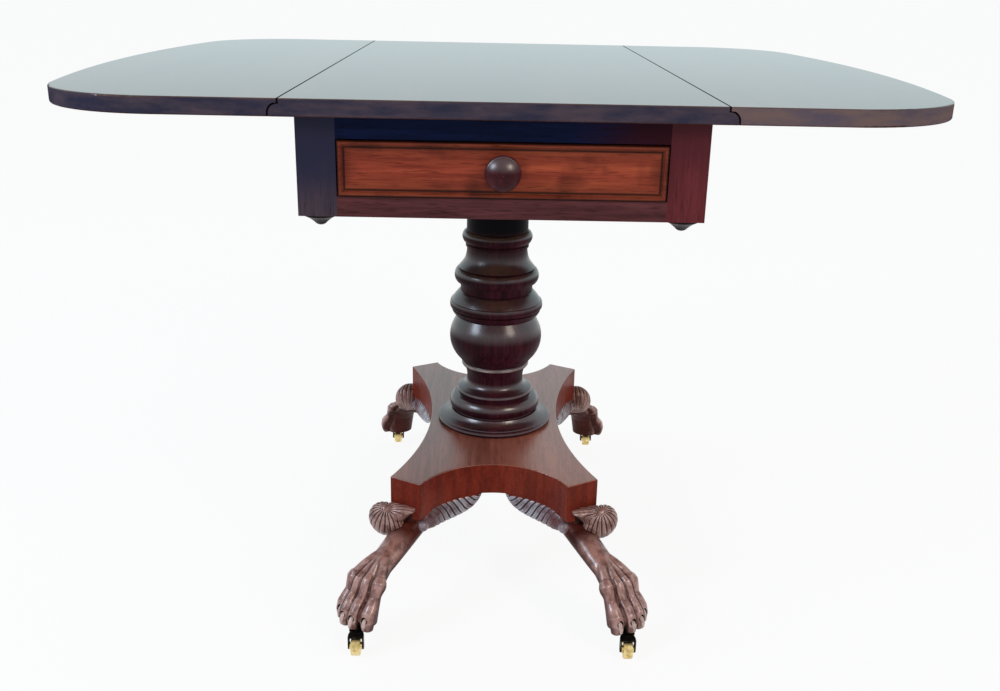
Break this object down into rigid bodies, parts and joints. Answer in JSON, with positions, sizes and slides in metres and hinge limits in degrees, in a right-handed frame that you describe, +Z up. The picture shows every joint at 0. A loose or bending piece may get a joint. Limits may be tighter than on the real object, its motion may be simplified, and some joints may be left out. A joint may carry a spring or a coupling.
{
  "type": "pembroke table",
  "caption": "Drop-leaf side table with a drawer, on a turned column and a hollow-sided platform with carved paw legs on casters.",
  "frame": {"origin": "on the floor below the middle of the top", "axes": "+Z up; the drawer faces -Y; +X towards the right leaf"},
  "size_m": [1.0298, 0.925, 0.724],
  "materials": {
    "top_mahogany": "polished",
    "frame_mahogany": "polished",
    "drawer_mahogany": "polished",
    "base_mahogany": "polished",
    "inner_timber": "unfinished",
    "brass": "worn",
    "iron": "dark"
  },
  "bodies": {
    "frame": {"caster_sockets": "iron", "column": "base_mahogany", "column_bearer": "inner_timber", "corner_drops": "frame_mahogany", "fly_pins": "iron", "front_bottom_rail": "frame_mahogany", "front_left_leg": "base_mahogany", "front_left_post": "frame_mahogany", "front_left_wings": "base_mahogany", "front_right_leg": "base_mahogany", "front_right_post": "frame_mahogany", "front_right_wings": "base_mahogany", "front_top_rail": "frame_mahogany", "hinge_pins": "iron", "hinge_top_flaps": "iron", "hinge_top_screws": "iron", "left_drawer_runner": "inner_timber", "left_inner_rail": "inner_timber", "left_kicker": "inner_timber", "left_outer_rail": "frame_mahogany", "platform": "base_mahogany", "rear_left_leg": "base_mahogany", "rear_left_post": "frame_mahogany", "rear_left_wings": "base_mahogany", "rear_rail": "frame_mahogany", "rear_right_leg": "base_mahogany", "rear_right_post": "frame_mahogany", "rear_right_wings": "base_mahogany", "right_drawer_runner": "inner_timber", "right_inner_rail": "inner_timber", "right_kicker": "inner_timber", "right_outer_rail": "frame_mahogany", "top_board": "top_mahogany", "top_screws": "iron"},
    "drawer": {"drawer_back": "inner_timber", "drawer_bead": "drawer_mahogany", "drawer_bottom": "inner_timber", "drawer_front": "drawer_mahogany", "drawer_knob": "frame_mahogany", "drawer_left_side": "inner_timber", "drawer_right_side": "inner_timber"},
    "left_leaf": {"left_leaf": "top_mahogany", "left_hinge_leaf_flaps": "iron", "left_hinge_leaf_screws": "iron"},
    "right_leaf": {"right_leaf": "top_mahogany", "right_hinge_leaf_flaps": "iron", "right_hinge_leaf_screws": "iron"},
    "left_fly": {"left_fly": "frame_mahogany"},
    "right_fly": {"right_fly": "frame_mahogany"},
    "front_left_caster": {"front_left_caster_fork": "iron"},
    "front_left_wheel": {"front_left_caster_wheel": "brass"},
    "front_right_caster": {"front_right_caster_fork": "iron"},
    "front_right_wheel": {"front_right_caster_wheel": "brass"},
    "rear_left_caster": {"rear_left_caster_fork": "iron"},
    "rear_left_wheel": {"rear_left_caster_wheel": "brass"},
    "rear_right_caster": {"rear_right_caster_fork": "iron"},
    "rear_right_wheel": {"rear_right_caster_wheel": "brass"}
  },
  "joints": [
    {"name": "drawer_slide", "type": "slide", "parent": "frame", "child": "drawer", "axis": [0, -1, 0], "range_m": [0, 0.3]},
    {"name": "left_leaf_hinge", "type": "hinge", "parent": "frame", "child": "left_leaf", "pos_m": [-0.222, 0, 0.7095], "axis": [0, 1, 0], "range_deg": [-90, 0]},
    {"name": "left_fly_hinge", "type": "hinge", "parent": "frame", "child": "left_fly", "pos_m": [-0.199, -0.04, 0.675], "axis": [0, 0, 1], "range_deg": [0, 90]},
    {"name": "right_leaf_hinge", "type": "hinge", "parent": "frame", "child": "right_leaf", "pos_m": [0.222, 0, 0.7095], "axis": [0, -1, 0], "range_deg": [-90, 0]},
    {"name": "right_fly_hinge", "type": "hinge", "parent": "frame", "child": "right_fly", "pos_m": [0.199, -0.04, 0.675], "axis": [0, 0, -1], "range_deg": [0, 90]},
    {"name": "front_left_swivel", "type": "hinge", "parent": "frame", "child": "front_left_caster", "pos_m": [-0.17735, -0.32968, 0.024], "axis": [0, 0, 1], "continuous": true},
    {"name": "front_left_wheel_spin", "type": "hinge", "parent": "front_left_caster", "child": "front_left_wheel", "pos_m": [-0.17735, -0.34168, 0.0125], "axis": [1, 0, 0], "continuous": true},
    {"name": "front_right_swivel", "type": "hinge", "parent": "frame", "child": "front_right_caster", "pos_m": [0.17735, -0.32968, 0.024], "axis": [0, 0, 1], "continuous": true},
    {"name": "front_right_wheel_spin", "type": "hinge", "parent": "front_right_caster", "child": "front_right_wheel", "pos_m": [0.17735, -0.34168, 0.0125], "axis": [1, 0, 0], "continuous": true},
    {"name": "rear_left_swivel", "type": "hinge", "parent": "frame", "child": "rear_left_caster", "pos_m": [-0.17735, 0.32968, 0.024], "axis": [0, 0, 1], "continuous": true},
    {"name": "rear_left_wheel_spin", "type": "hinge", "parent": "rear_left_caster", "child": "rear_left_wheel", "pos_m": [-0.17735, 0.31768, 0.0125], "axis": [1, 0, 0], "continuous": true},
    {"name": "rear_right_swivel", "type": "hinge", "parent": "frame", "child": "rear_right_caster", "pos_m": [0.17735, 0.32968, 0.024], "axis": [0, 0, 1], "continuous": true},
    {"name": "rear_right_wheel_spin", "type": "hinge", "parent": "rear_right_caster", "child": "rear_right_wheel", "pos_m": [0.17735, 0.31768, 0.0125], "axis": [1, 0, 0], "continuous": true}
  ]
}
